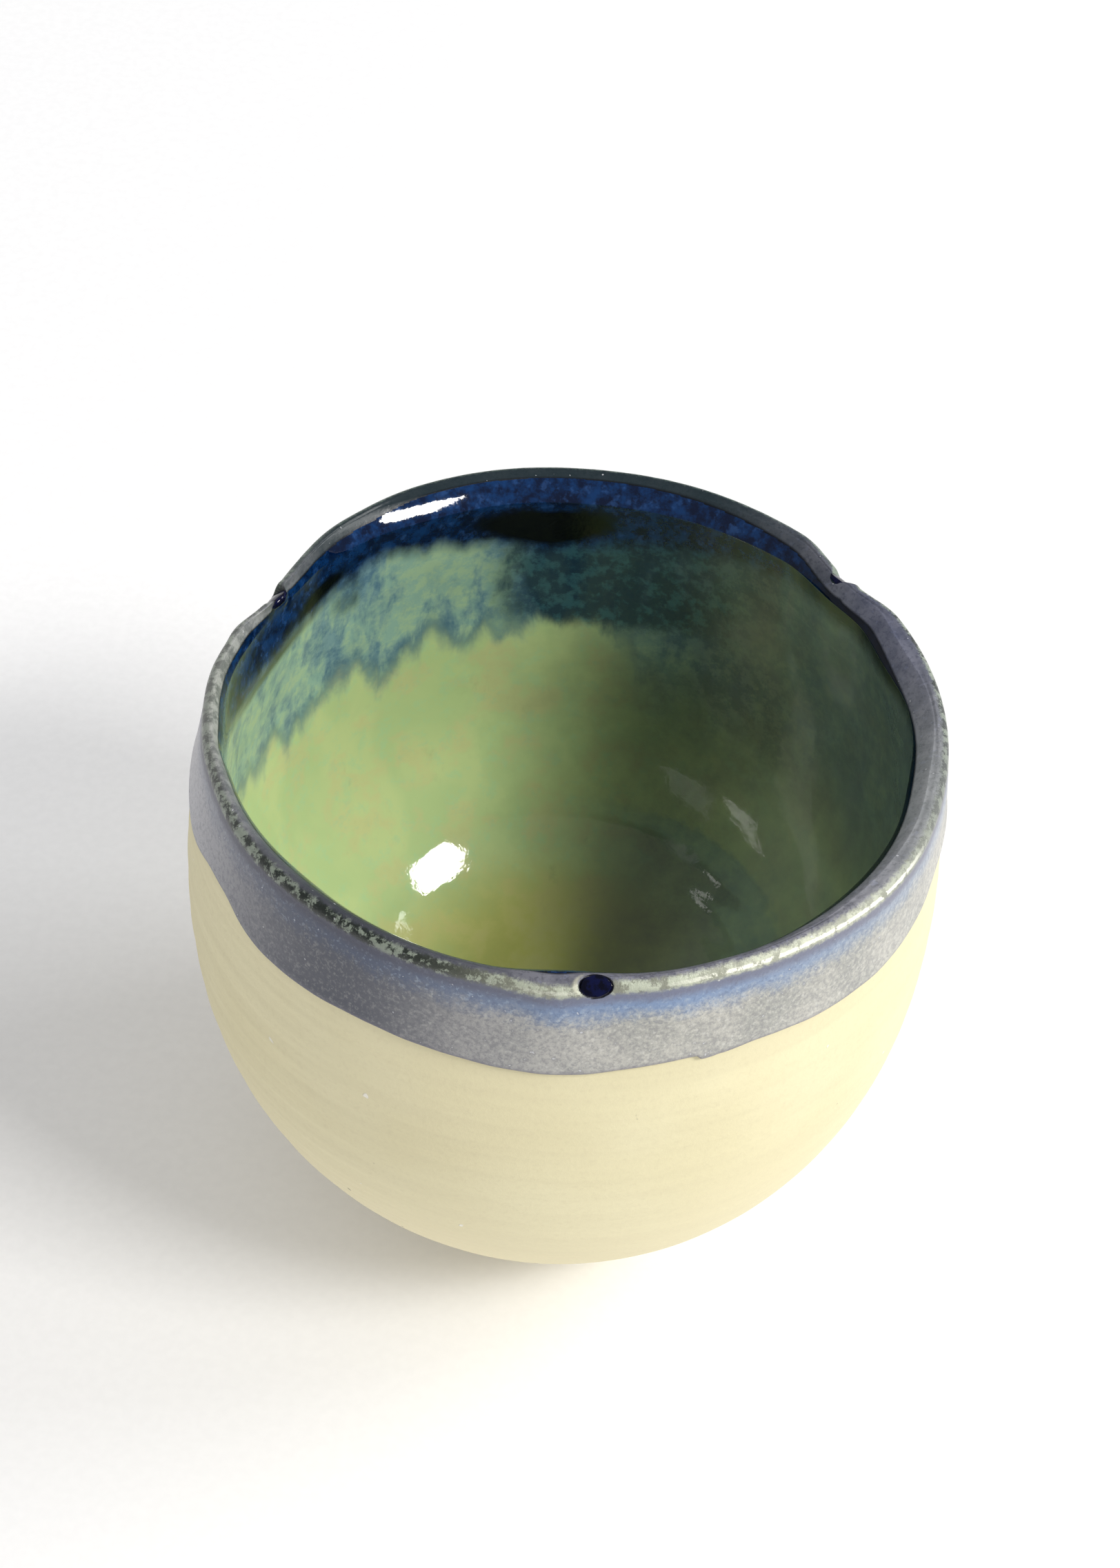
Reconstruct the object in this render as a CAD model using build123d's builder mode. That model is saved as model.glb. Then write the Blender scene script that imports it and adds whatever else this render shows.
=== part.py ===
from build123d import *
import math
import os

# A small hand-thrown sake cup: a bare clay bowl on a low foot ring, a glaze lining, a second
# glaze dipped over the rim, and dark glass pooled in three notches pressed into the lip.
# Millimetres. The cup stands on z = 0 and turns about Z. Angles run from +X towards +Y.

# Clay bowl
clay_height = 54.7  # from the table to the top of the bare lip
belly_radius = 32.4  # widest point of the outside
belly_height = 38.9  # level of the widest point
lip_draw = 1.3  # how far the bare lip is drawn in from the belly
heel_radius = 15.3  # where the underside of the bowl turns in to the foot
wall = 2.0  # clay, from the lip down to the belly
well_height = 7.6  # from the table to the lowest clay inside
bowl_power = 2.7  # how late the outside curves in
well_power = 3.0  # how late the inside curves in
rise_power = 1.3  # how late the outside draws in above the belly

# Foot ring
foot_radius = 14.0
foot_height = 2.5
foot_ring_width = 3.0
foot_recess = 2.0  # how far the ground inside the ring is turned away
foot_edge = 0.4  # rounding of the ring's two lower edges

# Glaze
glaze_thickness = 0.4
band_depth = 9.2  # from the top of the lip to the rim glaze's lower edge, outside
collar_depth = 7.0  # the same, inside
outer_rounding = 0.9  # of the glazed lip's outer edge
inner_rounding = 0.7  # of the glazed lip's inner edge

# Notches pressed into the lip: direction and reach to each side in degrees, depth in millimetres
front_angle, front_reach, front_press = 276, 18, 0.3
right_angle, right_reach, right_press = 41, 12, 1.2
left_angle, left_reach, left_press = 156, 30, 2.0
press_fade = 11.0  # a press fades out over this length below the lip
inner_press_share = 0.6  # how much of a press shows inside
notch_half_length = 1.4  # along the lip
notch_half_width = 0.95
notch_slant = 45  # degrees from level, the way that a notch faces
pool_sink = 0.2  # the glass lies this far below the glazed lip

# Outlines and the sections along them
bowl_shares = (0, 0.1, 0.25, 0.4, 0.6, 0.8, 1)  # from the heel up to the belly
well_shares = (0.99, 0.94, 0.82, 0.65, 0.45, 0.2, 0)  # from the belly down to the well
rise_shares = (0.25, 0.5, 0.75, 1)  # from the belly up to the lip
sections_in_loft = 13
points_in_section = 48

notches = {
    "front": (front_angle, front_reach, front_press),
    "right": (right_angle, right_reach, right_press),
    "left": (left_angle, left_reach, left_press),
}
glazed_height = clay_height + glaze_thickness
lip_radius = belly_radius - lip_draw


def outside_radius(height):
    """Radius of the bare clay outside, before the presses."""
    if height > belly_height:
        rise = (height - belly_height) / (clay_height - belly_height)
        return belly_radius - lip_draw * rise**rise_power
    fullness = (1 - heel_radius / belly_radius) ** (1 / bowl_power)
    drop = (belly_height - height) / (belly_height - foot_height) * fullness
    return belly_radius * (1 - drop**bowl_power)


def outside_outline(coat):
    """Radius and level of points on the outside, from the heel up, under a coat of glaze."""
    points = []
    for share in bowl_shares:
        height = foot_height + share * (belly_height - foot_height)
        points.append((outside_radius(height) + coat, height))
    for share in rise_shares:
        height = belly_height + share * (clay_height + coat - belly_height)
        points.append((outside_radius(height) + coat, height))
    return points


def inside_outline(coat):
    """Radius and level of points on the inside, from the well up, under a coat of glaze."""
    widest = belly_radius - wall - coat
    points = []
    for share in well_shares:
        height = belly_height - share * (belly_height - well_height - coat)
        points.append((widest * math.sqrt(1 - share**well_power), height))
    for share in rise_shares:
        height = belly_height + share * (clay_height + coat - belly_height)
        points.append((outside_radius(height) - wall - coat, height))
    return points


def press_at(angle, height):
    """How far the presses push the outside wall in, in this direction and at this level."""
    rise = (height - (clay_height - press_fade)) / press_fade
    rise = min(max(rise, 0), 1)
    fade = rise * rise * (3 - 2 * rise)
    total = 0
    for centre, reach, press in notches.values():
        away = abs((angle - centre + 180) % 360 - 180) / reach
        if away < 1:
            total += press * math.cos(away * math.pi / 2) ** 2
    return total * fade


def pressed_solid(outline, press_share):
    """The closed solid inside an outline turned about Z, with the presses in its wall."""
    turns = [step / points_in_section for step in range(points_in_section + 1)]
    with BuildLine(Plane.XZ) as side:
        Spline(*outline)
    stations = [side.line @ (step / sections_in_loft) for step in range(sections_in_loft + 1)]
    with BuildPart() as solid:
        for station in stations:
            points = []
            for turn in turns[:-1]:
                radius = station.X - press_share * press_at(360 * turn, station.Z)
                angle = 2 * math.pi * turn
                points.append((radius * math.cos(angle), radius * math.sin(angle)))
            with BuildSketch(Plane.XY.offset(station.Z)):
                with BuildLine():
                    add(Edge.make_spline(points, periodic=True, parameters=turns))
                make_face()
        loft()
    return solid.part


def bowl_solid(coat):
    """Everything inside the cup's outside, under a coat of glaze."""
    return pressed_solid(outside_outline(coat), 1)


def bowl_space(coat):
    """The space inside the cup, under a coat of glaze."""
    return pressed_solid(inside_outline(coat), inner_press_share)


def notch_plane(angle, press):
    """Plane on the glazed outer edge of the lip: X along the lip, Z straight out of the notch."""
    turn = math.radians(angle)
    slant = math.radians(notch_slant)
    inset = outer_rounding * (1 - math.cos(slant))
    reach = lip_radius + glaze_thickness - press - inset
    height = glazed_height - inset
    out = Vector(math.cos(turn) * math.cos(slant), math.sin(turn) * math.cos(slant), math.sin(slant))
    return Plane(
        origin=(reach * math.cos(turn), reach * math.sin(turn), height),
        x_dir=(-math.sin(turn), math.cos(turn), 0),
        z_dir=out,
    )


def notch_pocket(plane):
    """The almond-shaped pocket of one notch, turned about the line of the lip."""
    with BuildPart() as pocket:
        with BuildSketch(plane):
            Ellipse(notch_half_length, notch_half_width)
            split(bisect_by=Plane.XZ, keep=Keep.TOP)
        revolve(axis=Axis(plane.origin, plane.x_dir))
    return pocket.part


notch_planes = {}
for place, (angle, reach, press) in notches.items():
    notch_planes[place] = notch_plane(angle, press)

# Clay body: the bowl, its foot ring and the three notches
with BuildPart() as clay_body:
    add(bowl_solid(0))
    add(bowl_space(0), mode=Mode.SUBTRACT)
    with BuildSketch(Plane.XZ) as ring:
        with Locations((foot_radius - foot_ring_width / 2, foot_height / 2)):
            Rectangle(foot_ring_width, foot_height)
        fillet(ring.vertices().group_by(Axis.Z)[0], foot_edge)
    revolve(axis=Axis.Z)
    with BuildSketch(Plane.XY.offset(foot_recess)):
        Circle(foot_radius - foot_ring_width)
    extrude(amount=foot_height - foot_recess)
    for plane in notch_planes.values():
        add(notch_pocket(plane), mode=Mode.SUBTRACT)
clay_body.part.label = "clay_body"

# Liner glaze: the coat inside, from the well up to the rim glaze's collar
with BuildPart() as liner_glaze:
    add(bowl_space(0))
    add(bowl_space(glaze_thickness), mode=Mode.SUBTRACT)
    split(bisect_by=Plane.XY.offset(glazed_height - collar_depth), keep=Keep.BOTTOM)
liner_glaze.part.label = "liner_glaze"

# Rim glaze: the dipped coat, from the band outside over the lip to the collar inside
with BuildPart() as rim_glaze:
    add(bowl_solid(glaze_thickness))
    fillet(rim_glaze.edges().group_by(Axis.Z)[-1], outer_rounding)
    add(bowl_space(glaze_thickness), mode=Mode.SUBTRACT)
    fillet(rim_glaze.edges().group_by(Axis.Z)[-1].sort_by(SortBy.LENGTH)[0], inner_rounding)
    for plane in notch_planes.values():
        add(notch_pocket(plane), mode=Mode.SUBTRACT)
    split(bisect_by=Plane.XY.offset(glazed_height - band_depth), keep=Keep.TOP)
    add(clay_body.part, mode=Mode.SUBTRACT)
    add(liner_glaze.part, mode=Mode.SUBTRACT)
rim_glaze.part.label = "rim_glaze"

os.makedirs("parts", exist_ok=True)
export_step(clay_body.part, "parts/clay_body.step")
export_step(liner_glaze.part, "parts/liner_glaze.step")
export_step(rim_glaze.part, "parts/rim_glaze.step")

# Notch glaze: the dark glass that ran together in each notch
for place, plane in notch_planes.items():
    with BuildPart() as notch_glaze:
        add(notch_pocket(plane))
        add(bowl_solid(glaze_thickness - pool_sink), mode=Mode.INTERSECT)
        split(bisect_by=plane.offset(-pool_sink), keep=Keep.BOTTOM)
    notch_glaze.part.label = "notch_glaze_" + place
    export_step(notch_glaze.part, "parts/notch_glaze_" + place + ".step")
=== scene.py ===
import math

import bpy
import numpy as np
from mathutils import Matrix, Vector


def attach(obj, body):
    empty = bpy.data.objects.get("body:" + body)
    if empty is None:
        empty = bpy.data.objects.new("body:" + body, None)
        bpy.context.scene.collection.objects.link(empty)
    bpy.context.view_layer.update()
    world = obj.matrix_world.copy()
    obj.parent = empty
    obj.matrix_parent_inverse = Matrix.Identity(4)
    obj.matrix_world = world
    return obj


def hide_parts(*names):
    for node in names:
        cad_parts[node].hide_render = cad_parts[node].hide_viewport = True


# A hand-thrown sake cup: bare clay outside, a green glaze inside, a blue glaze dipped over the
# lip, and dark glass pooled in three notches. Shapes are worked out in millimetres, in the same
# frame as the solids, and made in metres. Turns are in degrees from +X towards +Y, heights go
# up from the table, and depths go down from the lip.

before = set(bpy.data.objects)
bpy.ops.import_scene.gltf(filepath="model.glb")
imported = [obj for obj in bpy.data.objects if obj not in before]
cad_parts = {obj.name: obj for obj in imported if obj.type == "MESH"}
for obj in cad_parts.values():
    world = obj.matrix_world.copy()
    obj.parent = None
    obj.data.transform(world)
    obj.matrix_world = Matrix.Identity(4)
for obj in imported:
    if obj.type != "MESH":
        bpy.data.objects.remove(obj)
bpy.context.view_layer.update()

MM = 0.001

# The cup's form, as in the solids
LIP = 55.1  # top of the glazed lip
COAT = 0.4  # thickness of the glaze
CLAY_TOP = LIP - COAT
BELLY, BELLY_HEIGHT = 32.4, 38.9  # widest radius of the clay, and its level
LIP_RADIUS = 31.1  # of the clay
HEEL = 15.3  # where the underside of the bowl turns in to the foot
WALL = 2.0
WELL = 7.6  # lowest clay inside
BOWL_POWER, WELL_POWER, RISE_POWER = 2.7, 3, 1.3  # how late the wall's curves turn in
FOOT, FOOT_WIDTH, FOOT_HEIGHT = 14.0, 3.0, 2.5
RECESS = 2.0  # level of the ground inside the foot ring
FOOT_ROUNDING, RECESS_ROUNDING = 0.5, 0.3
COLLAR = 7.0  # depth of the rim glaze inside
OUTER_ROUNDING = 0.9
INNER_DROP, INNER_WIDTH = 1.6, 1.6  # the lip's inner edge rounds over these lengths
BEVEL = 1.15  # 1 is a straight bevel, 2 is round
LIP_FALL = 0.12  # the lip's inner edge is lower than its outer edge

# How the pieces meet
CLAY_END = 53.4  # the clay ends here, hidden under the rim glaze
TUCK = (49.5, 52)  # between these levels the clay outside draws back under the rim glaze
OVERLAP = 0.05  # a piece dips this far into its neighbour
SEAM = 0.02  # a hidden face of the rim glaze keeps this far out of sight
POLE = 0.4  # an outline ends at this radius, and closes in a point on the axis
CALM = 100.0  # a turn that is clear of the presses
FAR, NOT_NEAR = 20.0, 9.0  # stand for great distances, on hidden faces and past the band

# Presses in the wall, each with a notch in the lip above it: turn, reach in degrees, depth
PRESSES = {"front": (276, 18, 0.3), "right": (41, 12, 1.2), "left": (156, 30, 2.0)}
PRESS_FADE, INNER_PRESS_FADE = 11, 22  # a press fades out over this length below the lip
INNER_PRESS_SHARE = 0.6  # how much of a press shows inside

# The notches: their size, the slant of their faces, how sharply each is cut, how pale its
# crest is and how dark its hollow
HALF_LENGTH, HALF_WIDTH, SLANT = 1.4, 0.95, 48
CRISP = {"front": 8, "right": 2.5, "left": 4}
CREST_PALE = {"front": 0.7, "right": 0.45, "left": 0.4}
HOLLOW_DARK = {"front": 1.0, "right": 0.0, "left": 0.5}
CREST = 1.2  # where the crest runs, in half sizes of the notch
POOL_SINK, POOL_DOME, POOL_DEPTH = 0.30, 0.12, 0.93  # of the glass in a notch

# Small unevenness of the lip: turn, width in degrees, outward move
WOBBLE_FADE = 12  # it fades out over this length below the lip
OUTER_WOBBLES = (
    (-90, 6, 0.75),
    (-66, 6, -0.25),
    (-32, 15, 0.5),
    (34, 4, -0.2),
    (92, 38, 0.7),
    (130, 6, -0.3),
    (158, 4, -0.3),
    (166, 3, 0.25),
    (184, 9, -0.55),
    (200, 10, -0.4),
    (232, 25, -0.15),
)
INNER_WOBBLES = (
    (-155, 12, 0.3),
    (-134, 8, -0.15),
    (-88, 8, -0.4),
    (-58, 12, 0.2),
    (-8, 9, -0.35),
    (22, 9, -0.6),
    (45, 9, 0.2),
    (119, 11, -0.3),
    (142, 5, 0.25),
    (193, 4, 0.35),
)

# Depth of the band's lower edge outside: turn, millimetres
BAND_EDGE = (
    (-163, 9.4),
    (-154, 8.05),
    (-147, 8.0),
    (-143, 9.0),
    (-138, 9.4),
    (-128, 9.45),
    (-120, 9.05),
    (-106, 9.3),
    (-90, 9.65),
    (-84, 9.45),
    (-78, 9.05),
    (-70, 8.75),
    (-68.5, 8.8),
    (-66, 9.27),
    (-59, 8.75),
    (-48, 9.25),
    (-36, 9.35),
    (-28, 9.05),
    (-21, 8.35),
    (-16, 7.3),
    (-4, 7.5),
    (25, 8.7),
    (60, 9.2),
    (100, 8.7),
    (140, 9.4),
    (172, 9.0),
)
# Depth of the dark collar's lower edge inside
COLLAR_EDGE = (
    (-170, 7.0),
    (-150, 5.5),
    (-90, 5.0),
    (-40, 4.0),
    (10, 3.0),
    (45, 3.6),
    (66, 4.6),
    (84, 6.4),
    (96, 7.5),
    (108, 6.5),
    (127, 4.5),
    (139, 5.6),
    (154, 6.6),
    (168, 7.6),
)
# Depth that the blue runs come down to inside
RUN_EDGE = (
    (-170, 20.0),
    (-150, 19.0),
    (-120, 16.0),
    (-60, 17.0),
    (-20, 21.0),
    (20, 25.0),
    (45, 26.0),
    (58, 25.0),
    (64, 22.5),
    (72, 23.5),
    (79, 21.5),
    (84, 17.0),
    (89, 15.0),
    (93, 17.0),
    (96, 15.5),
    (100, 18.5),
    (104, 19.0),
    (107, 17.5),
    (112, 19.5),
    (118, 17.0),
    (127, 21.5),
    (133, 17.5),
    (139, 19.5),
    (145, 19.5),
    (149, 23.0),
    (153, 18.5),
    (158, 21.5),
    (168, 20.5),
)


def smooth(x):
    """0 below 0, 1 above 1, smooth between."""
    x = np.clip(x, 0, 1)
    return x * x * (3 - 2 * x)


def ramp(x, start, end):
    """0 at start and 1 at end, smooth between. It falls where end is less than start."""
    return smooth((x - start) / (end - start))


def bell(x, centre, width):
    """1 at the centre, falling off evenly to both sides."""
    return np.exp(-(((x - centre) / width) ** 2))


def away(turn, centre):
    """Degrees from centre to turn, from -180 to 180."""
    return (turn - centre + 180) % 360 - 180


def hump(turn, centre, width):
    """A bell round one turn of the cup."""
    return bell(away(turn, centre), 0, width)


def round_table(turn, table):
    """A smooth periodic curve through (turn, value) pairs."""
    turns = np.array([pair[0] for pair in table], float)
    values = np.array([pair[1] for pair in table], float)
    turns = np.concatenate([turns - 360, turns, turns + 360])
    values = np.tile(values, 3)
    found = np.interp(away(turn, 0), turns, values)
    for step in (-1.5, 1.5):
        found = found + np.interp(away(turn, 0) + step, turns, values)
    return found / 3


def waver(turn, seed, steps=(5, 9, 14, 23, 37)):
    """A smooth random curve round the cup, about -1 to 1. Steps are its waves in one turn."""
    dice = np.random.default_rng(seed)
    total = np.zeros_like(turn, dtype=float)
    for step in steps:
        total += np.sin(np.radians(turn * step) + dice.uniform(0, 6.28)) / math.sqrt(step)
    return total


def spiral(run, pitch, turn, swing=0.0, hand=1):
    """A wave along a run, -1 to 1, that moves on by one pitch in one turn of the cup."""
    return np.sin(2 * math.pi * (run / pitch + hand * turn / 360) + swing)


def press(turn, height, fade=PRESS_FADE):
    """How far the wall is pushed in."""
    total = 0
    for centre, reach, depth in PRESSES.values():
        part = np.clip(np.abs(away(turn, centre)) / reach, 0, 1)
        total = total + depth * np.cos(part * math.pi / 2) ** 2
    return total * ramp(height, CLAY_TOP - fade, CLAY_TOP)


def wobble(turn, height, humps):
    """How far the lip's unevenness moves the wall out."""
    total = 0
    for centre, width, move in humps:
        total = total + move * hump(turn, centre, width)
    return total * ramp(height, CLAY_TOP - WOBBLE_FADE, CLAY_TOP)


def inner_move(turn, height):
    """How far the presses and the unevenness move the wall in, inside."""
    pushed = INNER_PRESS_SHARE * press(turn, height, INNER_PRESS_FADE)
    return pushed - wobble(turn, height, INNER_WOBBLES)


def drawn_in(height):
    """How far the wall is drawn in above the belly."""
    rise = np.clip((height - BELLY_HEIGHT) / (CLAY_TOP - BELLY_HEIGHT), 0, 1.05)
    return (BELLY - LIP_RADIUS) * rise**RISE_POWER


def outside(turn, height):
    """Radius of the bare clay outside."""
    fullness = (1 - HEEL / BELLY) ** (1 / BOWL_POWER)
    drop = np.clip((BELLY_HEIGHT - height) / (BELLY_HEIGHT - FOOT_HEIGHT), 0, 1) * fullness
    lower = BELLY * (1 - drop**BOWL_POWER)
    radius = np.where(height > BELLY_HEIGHT, BELLY - drawn_in(height), lower)
    return radius - press(turn, height) + wobble(turn, height, OUTER_WOBBLES)


def thinned(turn, height):
    """Share of the way that the lip thins towards its top, on the left."""
    return hump(turn, 163, 26) * ramp(height, LIP - COLLAR, LIP - 1)


def tucked(turn, height):
    """How far the clay is set back under the rim's glaze, outside."""
    return (0.9 - 0.75 * hump(turn, 158, 26)) * ramp(height, *TUCK)


def inside(turn, height, coat):
    """Radius of the space inside, under a coat of glaze."""
    widest = BELLY - WALL - coat
    share = np.clip((BELLY_HEIGHT - height) / (BELLY_HEIGHT - WELL - coat), 0, 1)
    lower = widest * np.sqrt(1 - share**WELL_POWER)
    radius = np.where(height > BELLY_HEIGHT, widest - drawn_in(height), lower)
    return radius - inner_move(turn, height) + 0.9 * thinned(turn, height)


def outline(radius_at, levels, *coat):
    """Radius and level of points on a wall, at a turn that is clear of the presses."""
    return np.stack([radius_at(np.full(levels.shape, CALM), levels, *coat), levels], 1)


def evenly(points, count):
    """Points evenly spaced along a line through many points."""
    points = np.array(points, float)
    steps = np.hypot(*np.diff(points, axis=0).T)
    run = np.concatenate([[0], np.cumsum(steps)])
    want = np.linspace(0, run[-1], count)
    return np.stack([np.interp(want, run, points[:, 0]), np.interp(want, run, points[:, 1])], 1)


def arc(centre, radius, start, end, count):
    """Points on an arc, between two angles."""
    angles = np.radians(np.linspace(start, end, count))
    return [(centre[0] + radius * math.cos(a), centre[1] + radius * math.sin(a)) for a in angles]


def round_turns(count):
    """Evenly spaced turns, one in each row."""
    return np.linspace(0, 360, count, endpoint=False)[:, None]


def rows(turn, values):
    """The same row of values for every turn."""
    return np.array(values, float) + 0 * turn


def placed(turn, radius, height):
    """Points from turns, radii and heights."""
    angle = np.radians(turn)
    return np.stack([radius * np.cos(angle), radius * np.sin(angle), height], 2)


def new_mesh(name, points, faces, attributes):
    """An object from points in millimetres, with a value at every point for each attribute."""
    mesh = bpy.data.meshes.new(name)
    mesh.from_pydata((points * MM).tolist(), [], faces)
    mesh.update()
    mesh.polygons.foreach_set("use_smooth", np.ones(len(mesh.polygons), bool))
    for key, values in attributes.items():
        layer = mesh.attributes.new(key, "FLOAT", "POINT")
        layer.data.foreach_set("value", np.asarray(values, np.float32).ravel())
    piece = bpy.data.objects.new(name, mesh)
    bpy.context.scene.collection.objects.link(piece)
    return piece


def turned(name, points, attributes, closed=False, reverse=False):
    """A mesh from rings: one row for each turn, one column for each point of the outline.
    Closed joins the last column to the first. Otherwise both ends close in a point on the axis.
    Reverse is for an outline that runs up the inside, so that its faces look out of the solid."""
    count, columns = points.shape[:2]
    values = {}
    for key, value in attributes.items():
        values[key] = np.broadcast_to(value, (count, columns)).ravel()
    points = points.reshape(-1, 3)
    index = np.arange(count * columns).reshape(count, columns)
    after = np.roll(index, -1, axis=0)
    if closed:
        beside, beside_after = np.roll(index, -1, axis=1), np.roll(after, -1, axis=1)
        quads = np.stack([index, after, beside_after, beside], 2)
    else:
        quads = np.stack([index[:, :-1], after[:, :-1], after[:, 1:], index[:, 1:]], 2)
    faces = quads.reshape(-1, 4).tolist()
    if not closed:
        ends = ((0, index[:, 0], after[:, 0]), (-1, after[:, -1], index[:, -1]))
        for column, first, second in ends:
            pole = len(points)
            middle = points[index[:, column]].mean(0)
            points = np.vstack([points, [0, 0, middle[2]]])
            faces += [(pole, int(b), int(a)) for a, b in zip(first, second)]
            for key, value in values.items():
                values[key] = np.append(value, value[index[0, column]])
    if reverse:
        faces = [face[::-1] for face in faces]
    return new_mesh(name, points, faces, values)


def notch_frame(name):
    """Where a notch sits on the lip's outer edge: its middle, along, up and out."""
    centre = PRESSES[name][0]
    turn, slant = math.radians(centre), math.radians(SLANT)
    inset = OUTER_ROUNDING * (1 - math.cos(slant))
    edge = outside(np.array(float(centre)), np.array(CLAY_TOP)) + COAT - inset
    middle = np.array([edge * math.cos(turn), edge * math.sin(turn), LIP - inset])
    along = np.array([-math.sin(turn), math.cos(turn), 0])
    flat = np.array([math.cos(turn), math.sin(turn), 0])
    out = flat * math.cos(slant) + np.array([0, 0, math.sin(slant)])
    return middle, along, np.cross(out, along), out


def press_notches(points):
    """Pushes the three notches into the lip, with a low crest round each."""
    for name in PRESSES:
        middle, along, up, out = notch_frame(name)
        local = points - middle
        x, y, z = local @ along / HALF_LENGTH, local @ up / HALF_WIDTH, local @ out
        near = (np.abs(x) < 2.8) & (np.abs(y) < 3.1) & (np.abs(z) < 2.2)
        ring = np.hypot(x, y)
        hollow = -HALF_WIDTH * np.sqrt(np.clip(1 - ring**2, 0, 1)) - z
        cut = np.minimum(hollow, 0) * smooth((1 - ring) * CRISP[name])
        crest = 0.1 * bell(ring, CREST, 0.22) * np.clip(0.3 - 0.5 * x + 0.4 * y, 0, 1)
        move = np.where(ring < 1, cut, 0) + crest
        points = points + (near * move)[..., None] * out
    return points


def notch_marks(points):
    """How pale the crests round the notches are, and how dark their hollows."""
    crest, hollow = np.zeros(points.shape[:2]), np.zeros(points.shape[:2])
    for name in PRESSES:
        middle, along, up, out = notch_frame(name)
        local = points - middle
        x, y, z = local @ along / HALF_LENGTH, local @ up / HALF_WIDTH, local @ out / 1.6
        pale = bell(np.sqrt(x**2 + y**2 + z**2), CREST, 0.3)
        pale = pale * np.clip(0.2 - 0.7 * x + 0.15 * y, 0, 1)
        dark = smooth((1.08 - np.hypot(x, y)) * 6) * (np.abs(z) < 1)
        crest = np.maximum(crest, pale * CREST_PALE[name])
        hollow = np.maximum(hollow, dark * HOLLOW_DARK[name])
    return {"crest": crest, "hollow": hollow}


def inner_attributes(turn, depth):
    """Where the glazes, the painted shade and the painted reflections lie inside: some in
    millimetres past an edge, some from 0 to 1.
    """
    fine = 1.2 * waver(turn, 21, (31, 47, 71, 97))
    collar = round_table(turn, COLLAR_EDGE) - depth
    # the shadow's middle leans over as it goes down
    lean = 8 - 9 * ramp(depth, 24, 16) - 0.5 * np.maximum(depth - 26, 0)
    # black patches at the collar's foot: painted dark reflections
    black = 1.3 * bell(collar, 2.6, 2.3) * hump(turn, 97, 14)
    black_left = 0.8 * bell(collar, 1.4, 1.3) * hump(turn, 143, 14)
    deep = ramp(depth, 19.5, 14.5) * (hump(turn, 95, 12) + 0.9 * hump(turn, 75, 15))
    deep_left = 0.7 * ramp(depth, 12, 8) * hump(turn, 135, 6)
    return {
        "collar": collar + 0.8 * fine * ramp(away(turn, 75), 0, 20),
        "runs": round_table(turn, RUN_EDGE) + 1.6 * fine - depth,
        # painted shade on the right side of the lining, which faces away from the lamps
        "painted_shade": smooth(0.37 + 1.1 * np.cos(np.radians(turn - lean))),
        "gloom": hump(turn, 71, 15) * ramp(depth, 12, 20),
        "mint": hump(turn, 114, 8) * ramp(depth, 18, 13),
        "right": ramp(np.abs(away(turn, 0)), 58, 38),
        "well": ramp(depth, 36, 45) * (0.3 + 0.7 * hump(turn, 85, 65)),
        "olive_reflection": hump(turn, 158, 15) * bell(collar, -0.3, 0.8),
        "grey_reflection": hump(turn, 58, 9) * bell(depth, 13, 4.5),
        "black": black + black_left,
        "deep": deep + deep_left,
    }


def band_attributes(turn):
    """How the rim glaze, and the light and shade painted on it, change round the cup outside and
    on the lip, from 0 to 1.
    """
    front, back = away(turn, -90), away(turn, 95)
    pale = 0.1 + 0.95 * hump(turn, -48, 30) + 0.4 * hump(turn, -92, 12)
    return {
        "sun": ramp(front, -32, 18) * ramp(front, 150, 90),
        "bluish": 0.35 + 0.6 * hump(turn, -80, 40) + 0.3 * hump(turn, 60, 60),
        "pale": np.clip(pale, 0, 1),
        "left": hump(turn, -178, 26),
        "shade": hump(turn, -124, 36),
        "glare": hump(turn, -14, 24),
        # painted shade on the lip at the back right
        "painted_dim": hump(turn, 26, 18),
        "back": ramp(back, -75, -25) * ramp(back, 75, 40),
    }


# Outside and foot: bare clay. The outline goes out under the foot, up the outside and down the
# inside.
turn = round_turns(720)
ring_inside = FOOT - FOOT_WIDTH
recess_corner = (ring_inside - RECESS_ROUNDING, RECESS - RECESS_ROUNDING)
heel_corner = (FOOT + FOOT_ROUNDING, FOOT_HEIGHT - FOOT_ROUNDING - OVERLAP)
foot_line = [(POLE, RECESS), (ring_inside - RECESS_ROUNDING, RECESS)]
foot_line += arc(recess_corner, RECESS_ROUNDING, 90, 0, 5)
foot_line += arc((ring_inside + FOOT_ROUNDING, FOOT_ROUNDING), FOOT_ROUNDING, 180, 270, 7)
foot_line += arc((FOOT - FOOT_ROUNDING, FOOT_ROUNDING), FOOT_ROUNDING, 270, 360, 7)
foot_line += arc(heel_corner, FOOT_ROUNDING, 180, 100, 6)
foot_line = evenly(foot_line, 70)
rise_line = evenly(outline(outside, np.linspace(FOOT_HEIGHT, CLAY_END, 400)), 190)
share = np.linspace(0, 0.9999, 300) ** 0.5
down_line = outline(inside, CLAY_END - share * (CLAY_END - WELL), 0)
down_line = evenly(np.vstack([down_line, [POLE, WELL]]), 90)
line = np.vstack([foot_line, rise_line, down_line])
foot = slice(0, len(foot_line))
rise = slice(foot.stop, foot.stop + len(rise_line))
down = slice(rise.stop, None)
radius, height = rows(turn, line[:, 0]), rows(turn, line[:, 1])
radius[:, foot] += 0.05 * waver(turn, 3) * ramp(foot_line[:, 0], 10, 12)
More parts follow.
